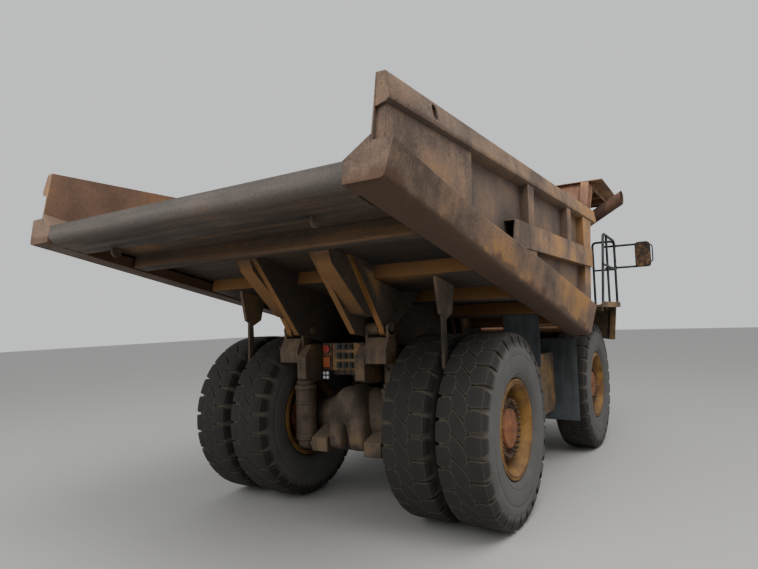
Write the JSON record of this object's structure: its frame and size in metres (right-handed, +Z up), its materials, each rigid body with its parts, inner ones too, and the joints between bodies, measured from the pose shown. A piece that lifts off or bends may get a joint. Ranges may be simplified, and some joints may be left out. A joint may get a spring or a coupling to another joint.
{
  "type": "mining dump truck",
  "caption": "Rigid-frame mining dump truck with a tipping rock body, canopy, offset cab, twin rear wheels, steered front wheels and telescopic hoists.",
  "frame": {"origin": "on the ground under the middle of the whole machine", "axes": "+X towards the front, +Y to the left, +Z up"},
  "size_m": [8.065, 5.08, 4.057],
  "materials": {
    "tyre_rubber": "worn, dusty",
    "rim_paint": "matt paint, rusty",
    "window_glass": "clear",
    "body_steel": "paint worn to rust",
    "frame_paint": "matt paint, dusty",
    "cab_paint": "satin paint",
    "dark_steel": "satin black paint",
    "cast_steel": "dusty casting",
    "hoist_chrome": "polished",
    "exhaust_steel": "rusted pipe",
    "flap_rubber": "faded",
    "lamp_lens": "clear lens",
    "cab_trim": "grained"
  },
  "bodies": {
    "chassis": {"frame": "frame_paint", "front_bumper": "frame_paint", "engine_block": "dark_steel", "driveline": "cast_steel", "hood": "frame_paint", "radiator_grille": "dark_steel", "deck_left": "frame_paint", "deck_right": "frame_paint", "cab_shell": "cab_paint", "cab_glass": "window_glass", "cab_seat": "cab_trim", "cab_console": "cab_trim", "handrails": "dark_steel", "mirrors": "dark_steel", "ladders": "dark_steel", "side_tanks": "frame_paint", "air_cleaner": "frame_paint", "exhaust_pipe": "exhaust_steel", "front_struts": "cast_steel", "rear_axle": "cast_steel", "rear_struts": "cast_steel", "rear_lamps": "frame_paint", "head_lamps": "lamp_lens", "mud_flaps": "flap_rubber"},
    "door": {"cab_door": "cab_paint", "door_glass": "window_glass"},
    "knuckle_l": {"knuckle_left": "cast_steel"},
    "knuckle_r": {"knuckle_right": "cast_steel"},
    "track_rod": {"track_rod": "cast_steel"},
    "wheel_front_l": {"front_rim_left": "rim_paint", "front_tyre_left": "tyre_rubber"},
    "wheel_front_r": {"front_rim_right": "rim_paint", "front_tyre_right": "tyre_rubber"},
    "wheels_rear_l": {"rear_rim_left": "rim_paint", "rear_tyre_left_inner": "tyre_rubber", "rear_tyre_left_outer": "tyre_rubber"},
    "wheels_rear_r": {"rear_rim_right": "rim_paint", "rear_tyre_right_inner": "tyre_rubber", "rear_tyre_right_outer": "tyre_rubber"},
    "dump_body": {"body_floor": "body_steel", "body_side_left": "body_steel", "body_side_right": "body_steel", "body_front_wall": "body_steel", "body_canopy": "body_steel", "body_flaps": "flap_rubber", "rock_ejectors": "cast_steel"},
    "hoist_barrel_pair": {"hoist_barrels": "frame_paint"},
    "hoist_stage_pair": {"hoist_stages": "hoist_chrome"},
    "hoist_rod_pair": {"hoist_rods": "hoist_chrome"}
  },
  "joints": [
    {"name": "body_tip", "type": "hinge", "parent": "chassis", "child": "dump_body", "pos_m": [-1.8875, 0, 1.95], "axis": [0, -1, 0], "range_deg": [0, 55]},
    {"name": "hoist_swing", "type": "hinge", "parent": "chassis", "child": "hoist_barrel_pair", "pos_m": [-0.3675, 0, 0.7], "axis": [0, -1, 0], "range_deg": [0, 26.68]},
    {"name": "hoist_stage_slide", "type": "slide", "parent": "hoist_barrel_pair", "child": "hoist_stage_pair", "axis": [0.3531, 0, 0.9356], "range_m": [0, 0.8209]},
    {"name": "hoist_rod_slide", "type": "slide", "parent": "hoist_stage_pair", "child": "hoist_rod_pair", "axis": [0.3531, 0, 0.9356], "range_m": [0, 0.8209]},
    {"name": "steer_left", "type": "hinge", "parent": "chassis", "child": "knuckle_l", "pos_m": [2.3825, 1.1, 0.9365], "axis": [0, 0, 1], "range_deg": [-39, 39]},
    {"name": "steer_right", "type": "hinge", "parent": "chassis", "child": "knuckle_r", "pos_m": [2.3825, -1.1, 0.9365], "axis": [0, 0, 1], "range_deg": [-39, 39]},
    {"name": "track_rod_shift", "type": "slide", "parent": "chassis", "child": "track_rod", "axis": [0, -1, 0], "range_m": [-0.2096, 0.2096]},
    {"name": "front_wheel_left_spin", "type": "hinge", "parent": "knuckle_l", "child": "wheel_front_l", "pos_m": [2.3825, 1.55, 0.9365], "axis": [0, 1, 0], "continuous": true},
    {"name": "front_wheel_right_spin", "type": "hinge", "parent": "knuckle_r", "child": "wheel_front_r", "pos_m": [2.3825, -1.55, 0.9365], "axis": [0, 1, 0], "continuous": true},
    {"name": "rear_wheels_left_spin", "type": "hinge", "parent": "chassis", "child": "wheels_rear_l", "pos_m": [-1.3675, 1.268, 0.9365], "axis": [0, 1, 0], "continuous": true},
    {"name": "rear_wheels_right_spin", "type": "hinge", "parent": "chassis", "child": "wheels_rear_r", "pos_m": [-1.3675, -1.268, 0.9365], "axis": [0, 1, 0], "continuous": true},
    {"name": "cab_door_swing", "type": "hinge", "parent": "chassis", "child": "door", "pos_m": [2.4425, 1.72, 2.9], "axis": [0, 0, 1], "range_deg": [0, 80]}
  ],
  "couplings": [
    {"joint": "hoist_swing", "follows": "body_tip", "ratio": 0.476},
    {"joint": "hoist_stage_slide", "follows": "body_tip", "m_per_rad": 0.85},
    {"joint": "hoist_rod_slide", "follows": "body_tip", "m_per_rad": 0.85},
    {"joint": "steer_right", "follows": "steer_left", "ratio": 1},
    {"joint": "track_rod_shift", "follows": "steer_left", "m_per_rad": 0.305}
  ]
}
